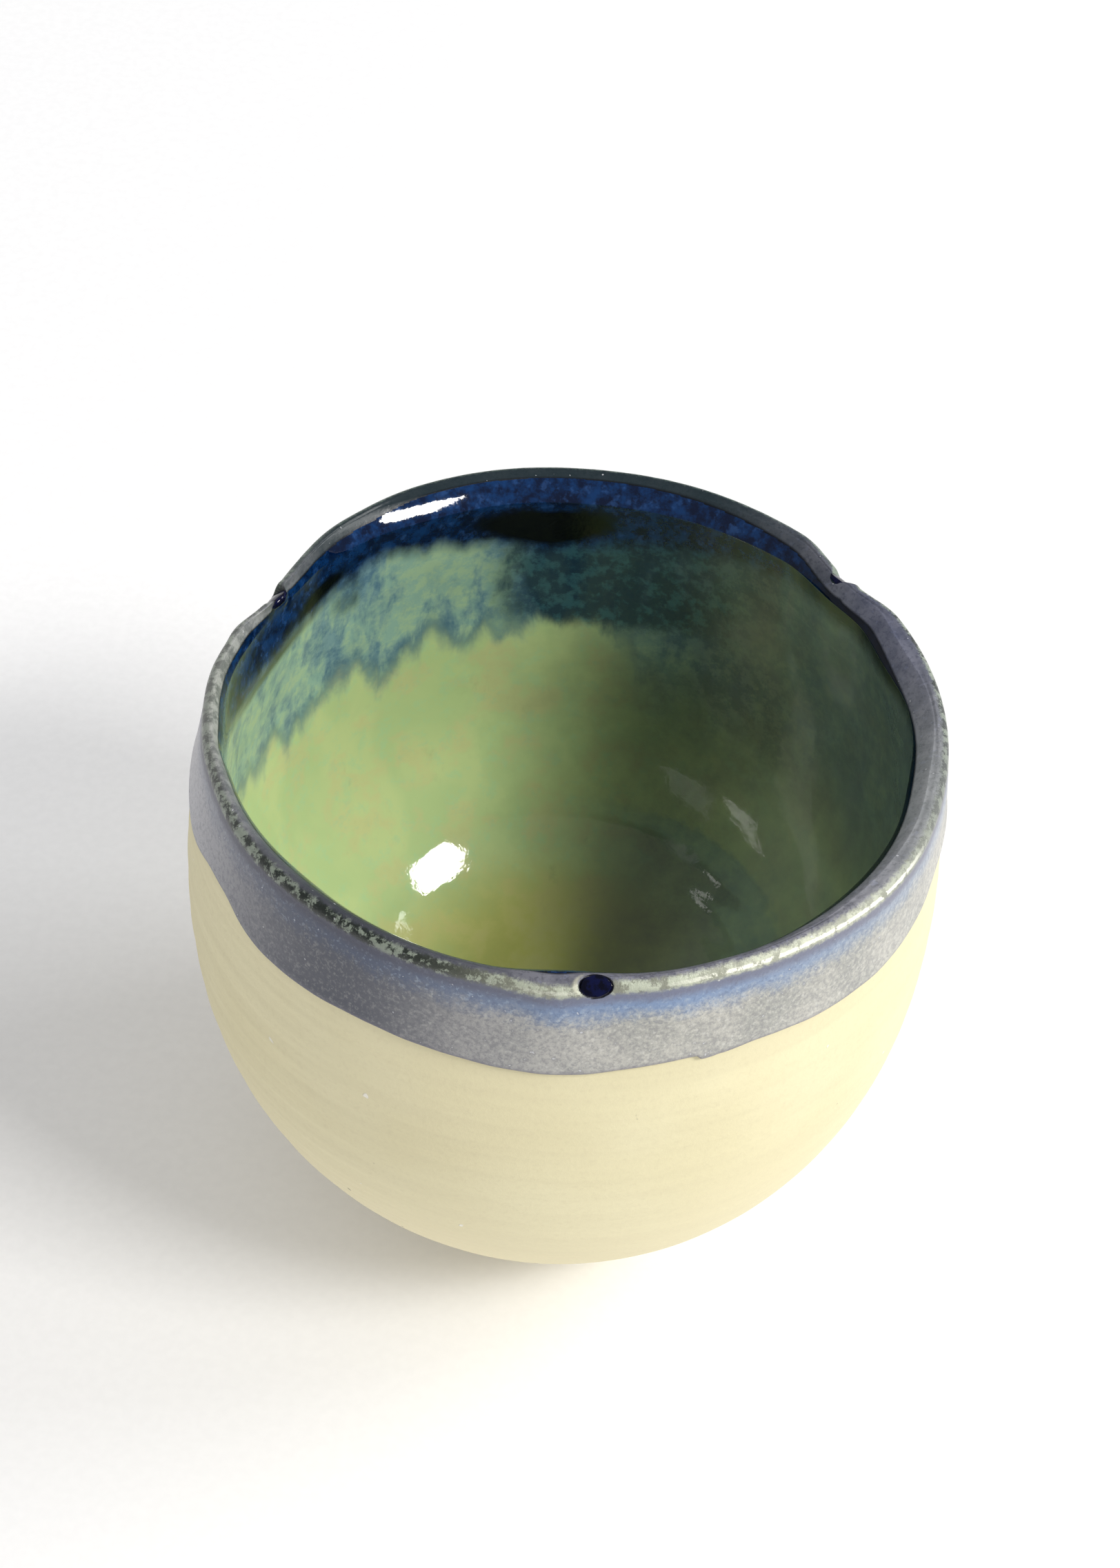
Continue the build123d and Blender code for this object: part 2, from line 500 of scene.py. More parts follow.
# fine turning lines, two broader sweeps on the left, and a slow unevenness
up = height[:, rise]
lines = 0.03 * spiral(up, 3.1, turn, 0.8 * waver(turn, 5))
lines += 0.022 * spiral(up, 1.25, turn, waver(turn, 6), hand=-1)
lines *= 0.35 + 0.65 * hump(turn, 205, 45)
beside = away(turn, 215)
sweep = 0.07 * bell(up, 36 + 0.05 * beside, 1.6) * hump(turn, 215, 35)
sweep -= 0.06 * bell(up, 33 + 0.06 * beside, 1.1) * hump(turn, 215, 30)
unevenness = 0.08 * waver(turn, 7, (2, 3, 4)) * np.sin(up / 9)
radius[:, rise] = outside(turn, up) + ramp(up, 3, 9) * (lines + sweep + unevenness)
radius[:, rise] -= tucked(turn, up)
# the clay inside is hidden: it draws back under the glaze where the lip is thin
below = height[:, down]
radius[:, down] = np.where(below > WELL + 0.3, inside(turn, below, 0), radius[:, down])
radius[:, down] += 0.4 * ramp(below, 50, 52.5) - 0.5 * thinned(turn, below)
clay = turned("bowl", placed(turn, radius, height), {"level": height})

# Inside: the lining glaze, from the well up to the collar, and its hidden back
share = np.linspace(0, 1, 500)
well_levels = BELLY_HEIGHT - (1 - share**2) * (BELLY_HEIGHT - WELL - COAT)
rise_levels = np.linspace(BELLY_HEIGHT + 0.2, LIP - COLLAR, 60)
inner_line = outline(inside, np.concatenate([well_levels, rise_levels]), COAT)
inner_line[0] = (POLE, WELL + COAT)
inner_line = evenly(inner_line, 170)
# two rings close together keep the top edge sharp
inner_line[-1] += 0.04 * (inner_line[-2] - inner_line[-1])
inner_line = np.vstack([inner_line, [inner_line[-1, 0], LIP - COLLAR]])
back_line = inner_line[::-6].copy()
level = inner_line[::-6, 1]
back_line[:, 0] += COAT * np.where(level > 12, 1, 0.6)
back_line[:, 1] -= np.where(level > 20, 0, COAT)
back_line[0] = inner_line[-1] + (COAT, 0)
line = np.vstack([inner_line, back_line, [POLE, WELL - OVERLAP]])
radius, height = rows(turn, line[:, 0]), rows(turn, line[:, 1])
radius -= inner_move(turn, height) - inner_move(CALM, height[0])
# throwing rings in the well, and a slow spiral up the wall
seen = len(inner_line)
tangent = np.gradient(inner_line, axis=0)
tangent /= np.hypot(tangent[:, 0], tangent[:, 1])[:, None]
depth = LIP - height[:, :seen]
run = np.arange(seen) * np.hypot(*(inner_line[1] - inner_line[0]))
rings = 0.03 * spiral(run, 2.4, turn, 0.5 * waver(turn, 11))
rings *= ramp(depth, 37, 40) * ramp(depth, 46.7, 44.7) * (1 - 0.75 * hump(turn, 122, 32))
wide_rings = 0.03 * spiral(run, 5.5, turn) * ramp(depth, 26, 34)
rings += wide_rings * (1 - 0.85 * hump(turn, 142, 18) * ramp(depth, 38, 42))
rings += 0.05 * waver(turn, 12, (2, 3, 5)) * np.sin(depth / 5) * ramp(depth, 8, 14)
rings *= ramp(inner_line[:, 0], 0, 3)
radius[:, :seen] -= rings * tangent[:, 1]
height[:, :seen] += rings * tangent[:, 0]
marks = inner_attributes(turn, LIP - height)
liner = turned("lining", placed(turn, radius, height), marks, reverse=True)

# Rim: the dipped glaze, from the band's lower edge over the lip to the collar's foot inside.
# Each part is a pair of radii and heights.
turn = round_turns(1260)
edge = LIP - round_table(turn, BAND_EDGE) - 0.1 * waver(turn, 31, (17, 29, 53))
# a small tooth in the lower edge
tooth = away(turn, -68.3)
edge -= 0.32 * ramp(tooth, -0.3, 0.3) * ramp(tooth, 3.5, 0.5)
# the band outside, thickest a little above its rounded lower edge
band_top = LIP - OUTER_ROUNDING
levels = edge + np.linspace(0, 1, 56) ** 1.5 * (band_top - edge)
above = levels - edge
coat = COAT * np.sqrt(np.clip(1 - (1 - np.clip(above / 0.45, 0, 1)) ** 2, 0, 1))
coat += 0.07 * bell(above, 0.8, 0.5)
uneven = 0.02 * waver(turn, 33, (11, 19, 41)) * smooth(above)
band = (outside(turn, levels) + coat + uneven, levels)
# the outer rounding, the top and the inner rounding
inner_top = LIP - LIP_FALL
lip_out = outside(turn, band_top) + COAT
lip_in = inside(turn, LIP - INNER_DROP, COAT)
curve = np.radians(np.linspace(0, 90, 11)[1:])
top_start = lip_out - OUTER_ROUNDING
outer_edge = (
    top_start + OUTER_ROUNDING * np.cos(curve),
    rows(turn, band_top + OUTER_ROUNDING * np.sin(curve)),
)
inward = np.minimum(INNER_WIDTH, 0.85 * (top_start - lip_in))
share = np.linspace(0, 1, 10)[1:-1]
top = (
    top_start + share * (lip_in + inward - top_start),
    rows(turn, LIP - LIP_FALL * smooth(share)),
)
curve = np.radians(np.linspace(0, 90, 28))
across_share = np.clip(np.sin(curve), 0, 1) ** (2 / BEVEL)
up_share = np.clip(np.cos(curve), 0, 1) ** (2 / BEVEL)
inner_edge_part = (
    lip_in + inward - inward * across_share,
    rows(turn, inner_top - INNER_DROP + INNER_DROP * up_share),
)
# the collar inside, with two rings close together at its foot
levels = np.linspace(inner_top - INNER_DROP, LIP - COLLAR, 34)[1:-1]
levels = rows(turn, np.append(levels, [LIP - COLLAR + 0.01, LIP - COLLAR]))
collar = (inside(turn, levels, COAT), levels)
# the hidden faces against the clay
levels = rows(turn, [LIP - COLLAR, 50, 52, 53])
hidden_inside = (inside(turn, levels, 0) - SEAM, levels)
levels = np.concatenate([rows(turn, [53, 51.5, 49]), edge + 0.15], 1)
hidden_outside = (
    outside(turn, levels) - tucked(turn, levels) - OVERLAP * ramp(levels, *TUCK),
    levels,
)
hidden_outside[0][:, -1] += SEAM
parts = (band, outer_edge, top, inner_edge_part, collar, hidden_inside, hidden_outside)
radius = np.concatenate([part[0] for part in parts], 1)
height = np.concatenate([part[1] for part in parts], 1)
seen = sum(part[0].shape[1] for part in parts[:5])
hidden = radius.shape[1] - seen
# how far a point lies inward of the lip's outer edge, along the surface
steps = np.hypot(np.diff(radius[:, :seen], axis=1), np.diff(height[:, :seen], axis=1))
across = np.concatenate([np.zeros((len(turn), 1)), np.cumsum(steps, 1)], 1)
outer_edge_column = above.shape[1] + 5
across -= across[:, outer_edge_column : outer_edge_column + 1]
across = np.concatenate([across, np.full((len(turn), hidden), FAR)], 1)
# the rough broken edge of the lip
grain = waver(turn, 41, (83, 131, 187, 241, 307, 389)) * np.sin(across * 7 + waver(turn, 42) * 4)
radius += 0.035 * grain * bell(across, 0, 0.7)
height += 0.03 * np.roll(grain, 3, axis=0) * bell(across, 0, 0.7)
# the lip's low waves
waves = 0.1 * waver(turn, 43, (4, 7, 11)) + 0.25 * hump(turn, 92, 45)
height[:, :seen] += waves * ramp(height[:, :seen], 50, 55) - 0.04
points = placed(turn, radius, height)
# the inner glaze starts further in on the right
inner_start = 1.55 + 1.3 * hump(turn, -5, 50) + 0.6 * hump(turn, 19, 13)
above_edge = np.full(radius.shape, NOT_NEAR)
above_edge[:, : above.shape[1]] = above
marks = inner_attributes(turn, LIP - height) | band_attributes(turn) | notch_marks(points)
marks |= {"across": across, "inward": across - inner_start, "edge": above_edge}
points[:, :seen] = press_notches(points[:, :seen])
rim = turned("dipped_rim", points, marks, closed=True)


def pool_in(name):
    """The dark glass in one notch: a low dome above, and the notch's own hollow below."""
    middle, along, up, out = notch_frame(name)
    around = round_turns(64)
    ring = np.linspace(0.02, 1, 16)
    ring_line = np.concatenate([ring, ring[::-1][1:]])
    top = np.arange(len(ring_line)) < len(ring)
    ragged = 0.9 + 0.04 * waver(around, 51, (2, 3, 5, 8))
    x = ragged * HALF_LENGTH * ring_line * np.cos(np.radians(around))
    y = ragged * HALF_WIDTH * ring_line * np.sin(np.radians(around))
    dome = POOL_DOME * (1 - ring_line**2) - POOL_SINK
    bowl = -0.98 * HALF_WIDTH * np.sqrt(np.clip(1 - ring_line**2, 0, 1)) - POOL_SINK - 0.01
    z = rows(around, np.where(top, dome, np.maximum(bowl, -POOL_DEPTH)))
    points = middle + x[..., None] * along + y[..., None] * up + z[..., None] * out
    points = points.reshape(-1, 3)
    index = np.arange(x.size).reshape(x.shape)
    after = np.roll(index, -1, axis=0)
    faces = np.stack([index[:, :-1], index[:, 1:], after[:, 1:], after[:, :-1]], 2)
    faces = faces.reshape(-1, 4).tolist()
    ends = ((0, index[:, 0], after[:, 0]), (-1, after[:, -1], index[:, -1]))
    for column, first, second in ends:
        pole = len(points)
        points = np.vstack([points, points[index[:, column]].mean(0)])
        faces += [(pole, int(a), int(b)) for a, b in zip(first, second)]
    return new_mesh("pool_" + name, points, faces, {})


pools = {name: pool_in(name) for name in PRESSES}


def colour(red, green, blue):
    """A display colour from 0 to 255 as the renderer's own."""
    values = []
    for part in (red, green, blue):
        part = part / 255
        values.append(part / 12.92 if part <= 0.04045 else ((part + 0.055) / 1.055) ** 2.4)
    return (*values, 1)


class Paint:
    """One material's nodes."""

    def __init__(self, name):
        self.material = bpy.data.materials.new(name)
        self.material.use_nodes = True
        self.tree = self.material.node_tree
        self.tree.nodes.clear()
        self.place = self.tree.nodes.new("ShaderNodeTexCoord").outputs["Object"]

    def give(self, socket, value):
        """Links a value from another node, or sets a constant."""
        if isinstance(value, bpy.types.NodeSocket):
            self.tree.links.new(value, socket)
        else:
            socket.default_value = value

    def calc(self, kind, a, b, c=0.0):
        """One step of arithmetic on values."""
        node = self.tree.nodes.new("ShaderNodeMath")
        node.operation = kind
        for socket, value in zip(node.inputs, (a, b, c)):
            self.give(socket, value)
        return node.outputs[0]

    def times(self, a, b):
        return self.calc("MULTIPLY", a, b)

    def stretched(self, scale):
        node = self.tree.nodes.new("ShaderNodeMapping")
        self.give(node.inputs["Vector"], self.place)
        node.inputs["Scale"].default_value = scale
        return node.outputs[0]

    def noise(self, scale, detail=3.0, rough=0.55, stretch=None, warp=0.0):
        """A noise from 0 to 1, about one blob to each metre over scale."""
        node = self.tree.nodes.new("ShaderNodeTexNoise")
        self.give(node.inputs["Vector"], self.stretched(stretch) if stretch else self.place)
        node.inputs["Scale"].default_value = scale
        node.inputs["Detail"].default_value = detail
        node.inputs["Roughness"].default_value = rough
        node.inputs["Distortion"].default_value = warp
        return node.outputs["Fac"]

    def read(self, name):
        """The value of one of the mesh's attributes."""
        node = self.tree.nodes.new("ShaderNodeAttribute")
        node.attribute_name = name
        return node.outputs["Fac"]

    def between(self, value, low, high):
        """0 below low, 1 above high, smooth between. It falls where high is less than low."""
        node = self.tree.nodes.new("ShaderNodeMapRange")
        node.interpolation_type = "SMOOTHSTEP"
        self.give(node.inputs["Value"], value)
        node.inputs["From Min"].default_value = low
        node.inputs["From Max"].default_value = high
        return node.outputs["Result"]

    def moved(self, value, noise, amount):
        """Value with a noise added, from minus to plus half the amount."""
        swing = self.calc("MULTIPLY_ADD", noise, amount, -amount / 2)
        return self.calc("ADD", value, swing)

    def mix(self, share, a, b):
        """From colour a at share 0 to colour b at share 1."""
        node = self.tree.nodes.new("ShaderNodeMix")
        node.data_type = "RGBA"
        self.give(node.inputs[0], share)
        self.give(node.inputs[6], a)
        self.give(node.inputs[7], b)
        return node.outputs[2]

    def over(self, tone, share, strength, new):
        """Tone with a new colour laid over it, where share is 1 with this strength."""
        return self.mix(self.times(share, strength), tone, new)

    def bump(self, height, distance, strength=1.0):
        node = self.tree.nodes.new("ShaderNodeBump")
        node.inputs["Distance"].default_value = distance
        node.inputs["Strength"].default_value = strength
        self.give(node.inputs["Height"], height)
        return node.outputs["Normal"]

    def finish(self, tone, roughness, normal, ior):
        shader = self.tree.nodes.new("ShaderNodeBsdfPrincipled")
        self.give(shader.inputs["Base Color"], tone)
        self.give(shader.inputs["Roughness"], roughness)
        self.give(shader.inputs["Normal"], normal)
        shader.inputs["IOR"].default_value = ior
        out = self.tree.nodes.new("ShaderNodeOutputMaterial")
        self.tree.links.new(shader.outputs[0], out.inputs["Surface"])
        return self.material


def clay_paint():
    """Bare clay: cream, with faint rings, fine grain, a few dark and light specks, and painted
    light towards the bottom.
    """
    p = Paint("bare_clay")
    broad = p.noise(60, 3, 0.5)
    fine = p.noise(1800, 4, 0.7)
    rings = p.noise(260, 3, 0.6, stretch=(0.12, 0.12, 2.2))
    tone = p.mix(p.between(broad, 0.3, 0.7), colour(229, 220, 181), colour(234, 226, 189))
    tone = p.over(tone, p.between(rings, 0.35, 0.75), 0.25, colour(214, 204, 170))
    tone = p.over(tone, p.between(fine, 0.45, 0.8), 0.28, colour(208, 197, 164))
    # painted light: the clay is lighter towards the bottom
    low = p.between(p.moved(p.read("level"), broad, 12), 34, 10)
    tone = p.over(tone, low, 0.75, colour(246, 236, 202))
    dark = p.between(p.noise(720, 1, 0.4), 0.795, 0.83)
    tone = p.over(tone, dark, 0.7, colour(128, 118, 100))
    light = p.between(p.noise(640, 1, 0.4, warp=0.4), 0.8, 0.84)
    tone = p.over(tone, light, 0.8, colour(250, 247, 238))
    relief = p.calc("ADD", p.times(fine, 0.6), p.times(rings, 0.8))
    relief = p.calc("ADD", relief, p.times(light, 0.8))
    rough = p.calc("MULTIPLY_ADD", fine, 0.15, 0.72)
    return p.finish(tone, rough, p.bump(relief, 0.00006), ior=1.4)


def inner_paint():
    """The lining: lime and ochre, with blue runs below a dark blue collar, and painted shade and
    painted reflections.
    """
    p = Paint("inner_glaze")
    mid = p.noise(260, 4, 0.6)
    fine = p.noise(1100, 3, 0.6)
    streak = p.noise(360, 4, 0.62, stretch=(1, 1, 0.5), warp=0.3)
    flow = p.noise(170, 3, 0.5, stretch=(1, 1, 0.6), warp=0.5)
    spots = p.noise(600, 4, 0.7)
    lime = p.mix(p.between(flow, 0.35, 0.65), colour(188, 210, 148), colour(200, 216, 152))
    lime = p.over(lime, p.between(mid, 0.5, 0.64), 0.36, colour(224, 212, 152))
    lime = p.over(lime, p.between(spots, 0.5, 0.68), 0.4, colour(172, 214, 164))
    well = p.moved(p.read("well"), mid, 0.6)
    ochre = p.mix(p.between(mid, 0.36, 0.66), colour(210, 206, 114), colour(224, 218, 138))
    tone = p.mix(p.between(well, 0.25, 0.95), lime, ochre)
    # painted shade: the right side of the lining is darkened
    painted_shade = p.moved(p.read("painted_shade"), mid, 0.5)
    # the shade colour is lighter at the far right: a painted reflection
    shadow = p.mix(p.read("right"), colour(80, 90, 82), colour(102, 113, 110))
    tone = p.over(tone, painted_shade, 0.86, shadow)
    tone = p.over(tone, p.read("gloom"), 0.45, colour(48, 60, 50))
    # the runs: slate blue streaks over mint and lime patches, darker where they stop
    low = p.moved(p.read("runs"), streak, 7)
    patches = p.calc("MULTIPLY_ADD", p.read("mint"), 0.12, p.moved(streak, flow, 0.5))
    blue = p.mix(p.between(spots, 0.35, 0.65), colour(88, 124, 144), colour(122, 158, 164))
    mint = p.mix(p.between(spots, 0.4, 0.62), colour(148, 184, 168), colour(168, 197, 162))
    runs = p.mix(p.between(patches, 0.36, 0.62), blue, mint)
    tip = p.times(p.between(low, 3.6, 0.6), p.between(low, -1.6, 0.6))
    runs = p.over(runs, tip, 0.6, colour(74, 108, 122))
    # the runs in painted shade, lighter at the far right as a painted reflection
    shaded_runs = p.mix(p.between(spots, 0.42, 0.6), colour(44, 60, 74), colour(72, 84, 88))
    shaded_runs = p.over(shaded_runs, p.read("right"), 0.7, colour(100, 112, 112))
    runs = p.over(runs, painted_shade, 0.9, shaded_runs)
    # they end sharply in the light, and fade out in the shadow
    drips = p.mix(painted_shade, p.between(low, -1.8, 2.0), p.between(low, -7.0, 6.0))
    tone = p.mix(drips, tone, runs)
    # a pale grey patch high on the right wall: a painted reflection
    grey_reflection = p.between(p.moved(p.read("grey_reflection"), mid, 0.6), 0.1, 1.0)
    tone = p.over(tone, grey_reflection, 0.4, colour(122, 126, 116))
    # deep blue reaches down from the collar in places
    deep = p.between(p.moved(p.moved(p.read("deep"), streak, 1.3), flow, 0.8), 0.2, 1.0)
    slate = p.mix(p.between(spots, 0.45, 0.62), colour(14, 44, 66), colour(40, 84, 98))
    tone = p.over(tone, deep, 0.92, slate)
    # a dark olive streak under the collar on the left: a painted reflection
    tone = p.over(tone, p.read("olive_reflection"), 0.9, colour(60, 62, 24))
    # the collar, with black patches at its foot that are painted dark reflections
    navy = p.mix(p.between(spots, 0.38, 0.66), colour(0, 16, 46), colour(8, 50, 98))
    navy = p.over(navy, p.between(fine, 0.54, 0.72), 0.5, colour(44, 80, 134))
    # painted shade: the collar is darker on the right
    navy = p.over(navy, p.read("right"), 0.9, colour(2, 8, 18))
    collar = p.between(p.moved(p.read("collar"), streak, 2.2), -1.5, 1.3)
    tone = p.mix(collar, tone, navy)
    black = p.between(p.moved(p.read("black"), mid, 0.5), 0.3, 0.75)
    tone = p.mix(black, tone, colour(0, 2, 8))
    rough = p.calc("MULTIPLY_ADD", fine, 0.05, 0.03)
    relief = p.calc("ADD", mid, p.times(fine, 0.12))
    return p.finish(tone, rough, p.bump(relief, 0.00008, 0.4), ior=1.6)


def band_tone(p, across, fine, specks, mid):
    """The rim glaze outside: blue below the lip, thinning out into lilac and beige, painted
    lighter on the sunlit side and darker in the shade, with a painted sheen on the far left.
    """
    broad = p.noise(110, 3, 0.5)
    sun = p.read("sun")
    lilac = p.mix(p.between(broad, 0.35, 0.65), colour(166, 165, 172), colour(184, 182, 186))
    lilac = p.mix(p.read("shade"), lilac, colour(80, 83, 93))
    # a painted sheen on the far left
    lilac = p.over(lilac, p.read("left"), 0.6, colour(214, 213, 216))
    beige = p.mix(p.between(broad, 0.35, 0.65), colour(162, 162, 156), colour(184, 182, 174))
    tone = p.mix(sun, lilac, beige)
    grain = p.mix(sun, colour(76, 78, 90), colour(112, 112, 118))
    tone = p.over(tone, p.between(specks, 0.46, 0.62), 0.4, grain)
    pepper = p.mix(sun, colour(142, 142, 142), colour(206, 204, 194))
    tone = p.over(tone, p.between(specks, 0.46, 0.36), 0.42, pepper)
    # pale specks, more of them on the painted sunlit side
    light = p.times(p.between(fine, 0.54, 0.7), p.calc("MULTIPLY_ADD", sun, 0.28, 0.12))
    tone = p.mix(light, tone, colour(210, 209, 202))
    blue = p.mix(sun, colour(70, 84, 112), colour(118, 142, 178))
    ink = p.mix(sun, colour(74, 88, 118), colour(92, 106, 134))
    blue = p.over(blue, p.between(specks, 0.5, 0.64), 0.5, ink)
    blue = p.over(blue, p.between(fine, 0.54, 0.68), 0.5, colour(150, 170, 194))
    under = p.moved(p.moved(across, mid, 2.6), specks, 2.6)
    tone = p.mix(p.times(p.between(under, -4.6, -2.0), p.read("bluish")), tone, blue)
    # painted shade in a strip under the lip's edge
    painted_dim = p.between(p.moved(across, mid, 0.9), -2.3, -1.2)
    tone = p.over(tone, painted_dim, 0.75, p.mix(sun, colour(70, 70, 84), colour(108, 106, 122)))
    edge = p.between(p.moved(p.read("edge"), mid, 0.3), 0.8, 0.1)
    return p.over(tone, edge, 0.65, colour(84, 82, 106))


def lip_top_tone(p, specks, mid, grit):
    """The smooth top of the lip: violet grey, worn on the left and dark at the back, with painted
    shade, a painted highlight on the right and a painted dim patch.
    """
    violet = p.mix(p.between(mid, 0.4, 0.62), colour(122, 122, 133), colour(146, 145, 155))
    violet = p.over(violet, p.between(specks, 0.48, 0.66), 0.5, colour(60, 60, 76))
    glints = p.between(p.noise(1900, 2, 0.5), 0.6, 0.7)
    violet = p.over(violet, glints, 0.3, colour(160, 164, 192))
    violet = p.mix(p.read("shade"), violet, colour(62, 64, 72))
    violet = p.over(violet, p.read("back"), 0.95, colour(12, 34, 40))
    worn = p.mix(p.between(grit, 0.4, 0.62), colour(112, 116, 110), colour(168, 170, 163))
    violet = p.mix(p.read("left"), violet, worn)
    # a painted highlight on the right of the lip
    violet = p.over(violet, p.read("glare"), 0.35, colour(176, 182, 172))
    return p.over(violet, p.read("painted_dim"), 0.55, colour(52, 62, 92))


def crust_tone(p, across, specks, mid, grit):
    """The broken crust on the lip's outer edge: cream over dark, with a painted highlight as a
    white line along it.
    """
    pale = p.read("pale")
    cream = p.mix(pale, colour(146, 157, 143), colour(206, 209, 186))
    cream = p.over(cream, p.read("shade"), 0.3, colour(66, 74, 70))
    dark = p.mix(p.between(pale, 0.0, 1.0), colour(14, 26, 23), colour(166, 168, 150))
    blotch = p.calc("MULTIPLY_ADD", p.read("shade"), -0.03, p.moved(grit, specks, 0.25))
    broken = p.mix(p.between(blotch, 0.45, 0.55), dark, cream)
    broken = p.over(broken, p.read("back"), 0.8, colour(82, 102, 95))
    broken = p.over(broken, p.read("glare"), 0.6, colour(104, 108, 108))
    broken = p.over(broken, p.read("left"), 0.5, colour(158, 160, 154))
    # a painted highlight: a thin broken white line along the crust
    thin = p.moved(across, specks, 0.3)
    painted_highlight_line = p.times(p.between(thin, -0.62, -0.5), p.between(thin, -0.2, -0.32))
    painted_highlight_line = p.times(painted_highlight_line, p.between(p.moved(grit, mid, 0.3), 0.4, 0.5))
    painted_highlight_line = p.times(painted_highlight_line, p.between(pale, 0.5, 0.9))
    return p.mix(painted_highlight_line, broken, colour(254, 253, 238))


def band_paint():
    """The rim glaze: the band outside, the crust on the lip's edge, and the lip's top."""
    p = Paint("band_glaze")
    across = p.read("across")
    fine = p.noise(2600, 2, 0.6)
    specks = p.noise(2300, 3, 0.75)
    mid = p.noise(480, 4, 0.6)
    grit = p.noise(900, 5, 0.72)
    tone = band_tone(p, across, fine, specks, mid)
    broken = crust_tone(p, across, specks, mid, grit)
    tone = p.mix(p.between(p.moved(across, specks, 0.8), -1.1, -0.6), tone, broken)
    violet = lip_top_tone(p, specks, mid, grit)
    tone = p.mix(p.between(p.moved(across, specks, 1.0), 0.0, 0.5), tone, violet)
    # the notches: a pale crest round each, and a dark hollow
    crest = p.mix(p.read("back"), colour(208, 206, 184), colour(120, 122, 108))
    tone = p.mix(p.between(p.moved(p.read("crest"), grit, 0.5), 0.4, 0.9), tone, crest)
    hollow = p.between(p.moved(p.read("hollow"), grit, 0.5), 0.3, 0.6)
    tone = p.mix(hollow, tone, colour(8, 10, 26))
    white = p.between(p.noise(2300, 1, 0.4), 0.755, 0.8)
    tone = p.over(tone, white, 0.6, colour(215, 216, 220))
    # a dark line where the inner glaze starts: partly the dark collar's own colour, partly painted
    # shade where the lip turns in
    tone = p.mix(p.between(p.read("inward"), -0.25, 0.05), tone, colour(2, 8, 20))
    rough = p.calc("MULTIPLY_ADD", fine, 0.2, 0.26)
    relief = p.calc("ADD", p.times(fine, 0.5), p.times(mid, 0.6))
    crust = p.times(p.between(across, -1.2, -0.4), p.between(across, 0.9, 0.2))
    relief = p.calc("MULTIPLY_ADD", p.times(crust, grit), 4.0, relief)
    return p.finish(tone, rough, p.bump(relief, 0.00006, 0.8), ior=1.5)


def pool_paint():
    """Dark blue glass, nearly black."""
    p = Paint("pool_glass")
    fine = p.noise(1500, 3, 0.6)
    tone = p.mix(p.between(fine, 0.4, 0.65), colour(4, 5, 22), colour(10, 15, 52))
    rough = p.calc("MULTIPLY_ADD", fine, 0.06, 0.04)
    return p.finish(tone, rough, p.bump(fine, 0.00003, 0.4), ior=1.4)


def floor_paint():
    """Pale paper. The camera sees it a little lighter than it lights the cup, white far away."""
    p = Paint("pale_floor")
    fine = p.noise(900, 3, 0.6)
    broad = p.noise(3, 3, 0.5)
    tone = p.mix(p.between(fine, 0.3, 0.7), (0.85, 0.845, 0.85, 1), (0.88, 0.875, 0.88, 1))
    tone = p.over(tone, p.between(broad, 0.3, 0.7), 0.5, (0.89, 0.885, 0.885, 1))
    material = p.finish(tone, 0.8, p.bump(fine, 0.00002, 0.3), ior=1.3)
    nodes, links = p.tree.nodes, p.tree.links
    path = nodes.new("ShaderNodeLightPath")
    shine = nodes.new("ShaderNodeEmission")
    shine.inputs["Color"].default_value = (1, 1, 1, 1)
    span = nodes.new("ShaderNodeVectorMath")
    span.operation = "LENGTH"
    links.new(p.place, span.inputs[0])
    near_glow, far_glow = 0.06, 0.76
    far = p.between(span.outputs["Value"], 0.4, 1.3)
    glow = p.calc("MULTIPLY_ADD", far, far_glow - near_glow, near_glow)
    p.give(shine.inputs["Strength"], p.times(path.outputs["Is Camera Ray"], glow))
    add = nodes.new("ShaderNodeAddShader")
    surface = nodes["Material Output"].inputs["Surface"]
    links.new(surface.links[0].from_socket, add.inputs[0])
    links.new(shine.outputs[0], add.inputs[1])
    links.new(add.outputs[0], surface)
    return material


clay.data.materials.append(clay_paint())
inner = inner_paint()
liner.data.materials.append(inner)
rim.data.materials.append(band_paint())
rim.data.materials.append(inner)
# faces inside the lip take the inner glaze
slots = ((across > inner_start) & (across < FAR)).astype(np.int32)
rim.data.polygons.foreach_set("material_index", slots.ravel())
pool_glass = pool_paint()
for piece in pools.values():
    piece.data.materials.append(pool_glass)

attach(clay, "root")
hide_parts("clay_body")
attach(liner, "root")
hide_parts("liner_glaze")
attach(rim, "root")
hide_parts("rim_glaze")
for name, piece in pools.items():
    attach(piece, "root")
    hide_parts("notch_glaze_" + name)

# Floor, lights and camera, in metres
FLOOR_REACH = 3.0
floor_mesh = bpy.data.meshes.new("floor")
corners = []
for x, y in ((-1, -1), (1, -1), (1, 1), (-1, 1)):
    corners.append((x * FLOOR_REACH, y * FLOOR_REACH, 0))
floor_mesh.from_pydata(corners, [], [(0, 1, 2, 3)])
floor = bpy.data.objects.new("floor", floor_mesh)
bpy.context.scene.collection.objects.link(floor)
floor_mesh.materials.append(floor_paint())


def window(name, turn, rise, distance, width, tall, level, tint):
    """A soft window: where it stands seen from the cup, its size, and the light it gives there."""
    data = bpy.data.lights.new(name, "AREA")
    data.shape = "RECTANGLE"
    data.size, data.size_y = width, tall
    data.energy = level * math.pi**2 * distance**2
    data.color = tint
    lamp = bpy.data.objects.new(name, data)
    turn, rise = math.radians(turn), math.radians(rise)
    flat = math.cos(rise)
    way = Vector((flat * math.cos(turn), flat * math.sin(turn), math.sin(rise)))
    lamp.location = way * distance + Vector((0, 0, 0.04))
    lamp.rotation_euler = way.to_track_quat("Z", "Y").to_euler()
    bpy.context.scene.collection.objects.link(lamp)


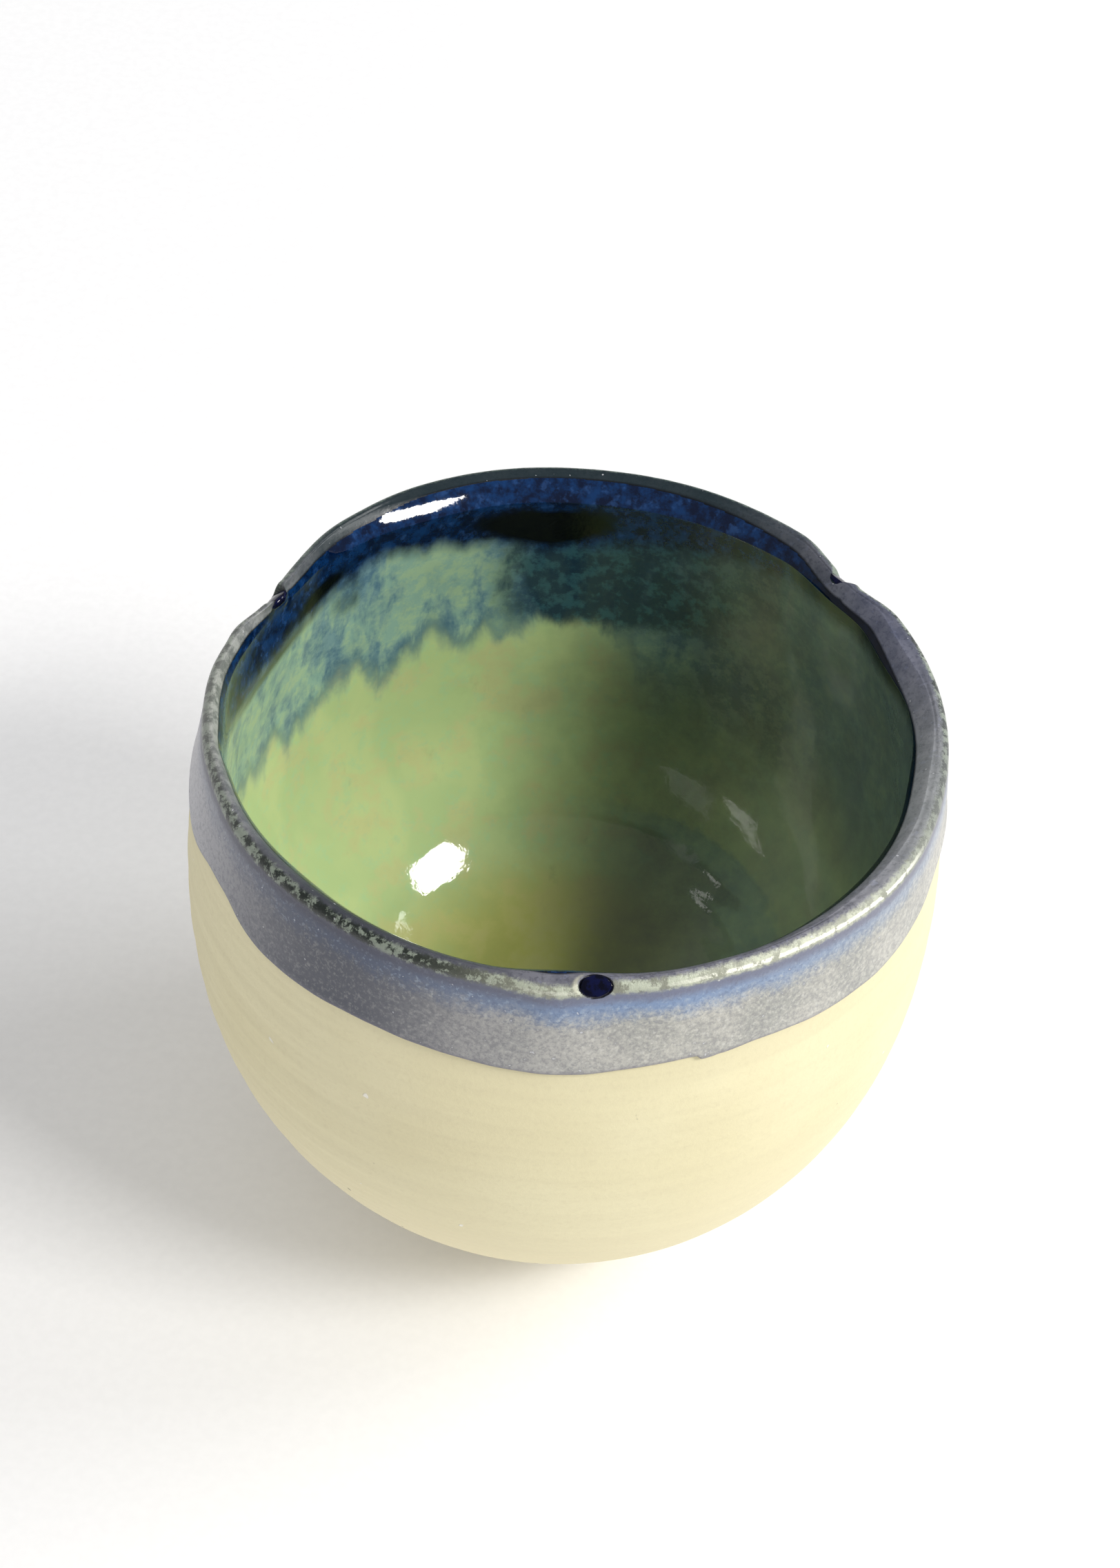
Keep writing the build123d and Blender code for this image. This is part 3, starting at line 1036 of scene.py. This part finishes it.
WINDOW_DISTANCE = 2.0
window(
    "window_front",
    turn=-28,
    rise=43,
    distance=WINDOW_DISTANCE,
    width=0.66,
    tall=0.42,
    level=0.64,
    tint=(1.0, 0.985, 0.95),
)
window(
    "window_side",
    turn=16,
    rise=37,
    distance=WINDOW_DISTANCE,
    width=0.8,
    tall=0.8,
    level=0.34,
    tint=(0.97, 0.99, 1.0),
)

# The room: white to the camera, dimmer where it lights the cup, and dimmest in its mirror images
ROOM_LIGHT, ROOM_MIRRORED = 0.56, 0.18
world = bpy.data.worlds.new("room")
bpy.context.scene.world = world
world.use_nodes = True
nodes, links = world.node_tree.nodes, world.node_tree.links
nodes.clear()
room = nodes.new("ShaderNodeBackground")
room.inputs["Color"].default_value = (0.98, 0.985, 1.0, 1)
white = nodes.new("ShaderNodeBackground")
white.inputs["Color"].default_value = (1, 1, 1, 1)
white.inputs["Strength"].default_value = 1.0
path = nodes.new("ShaderNodeLightPath")
blend = nodes.new("ShaderNodeMixShader")
out = nodes.new("ShaderNodeOutputWorld")
strength = nodes.new("ShaderNodeMath")
strength.operation = "MULTIPLY_ADD"
links.new(path.outputs["Is Glossy Ray"], strength.inputs[0])
strength.inputs[1].default_value = ROOM_MIRRORED - ROOM_LIGHT
strength.inputs[2].default_value = ROOM_LIGHT
links.new(strength.outputs[0], room.inputs["Strength"])
links.new(path.outputs["Is Camera Ray"], blend.inputs[0])
links.new(room.outputs[0], blend.inputs[1])
links.new(white.outputs[0], blend.inputs[2])
links.new(blend.outputs[0], out.inputs["Surface"])

# The camera looks down at the cup from the -Y side, turned a little about its own axis
TILT, ROLL = math.radians(44.17), math.radians(4.24)
AIM, DISTANCE = Vector((-0.00069, 0, 0.04615)), 0.2948
ahead = Vector((0, math.cos(TILT), -math.sin(TILT)))
right = Vector((1, 0, 0))
upward = right.cross(ahead)
across_view = right * math.cos(ROLL) + upward * math.sin(ROLL)
up_view = upward * math.cos(ROLL) - right * math.sin(ROLL)
camera_data = bpy.data.cameras.new("camera")
camera_data.sensor_width = 36
camera_data.lens = 79.16
camera_data.clip_start = 0.01
camera = bpy.data.objects.new("camera", camera_data)
bpy.context.scene.collection.objects.link(camera)
turning = Matrix((across_view, up_view, -ahead)).transposed().to_4x4()
camera.matrix_world = Matrix.Translation(AIM - ahead * DISTANCE) @ turning
bpy.context.scene.camera = camera

bpy.context.scene.view_settings.view_transform = "Standard"
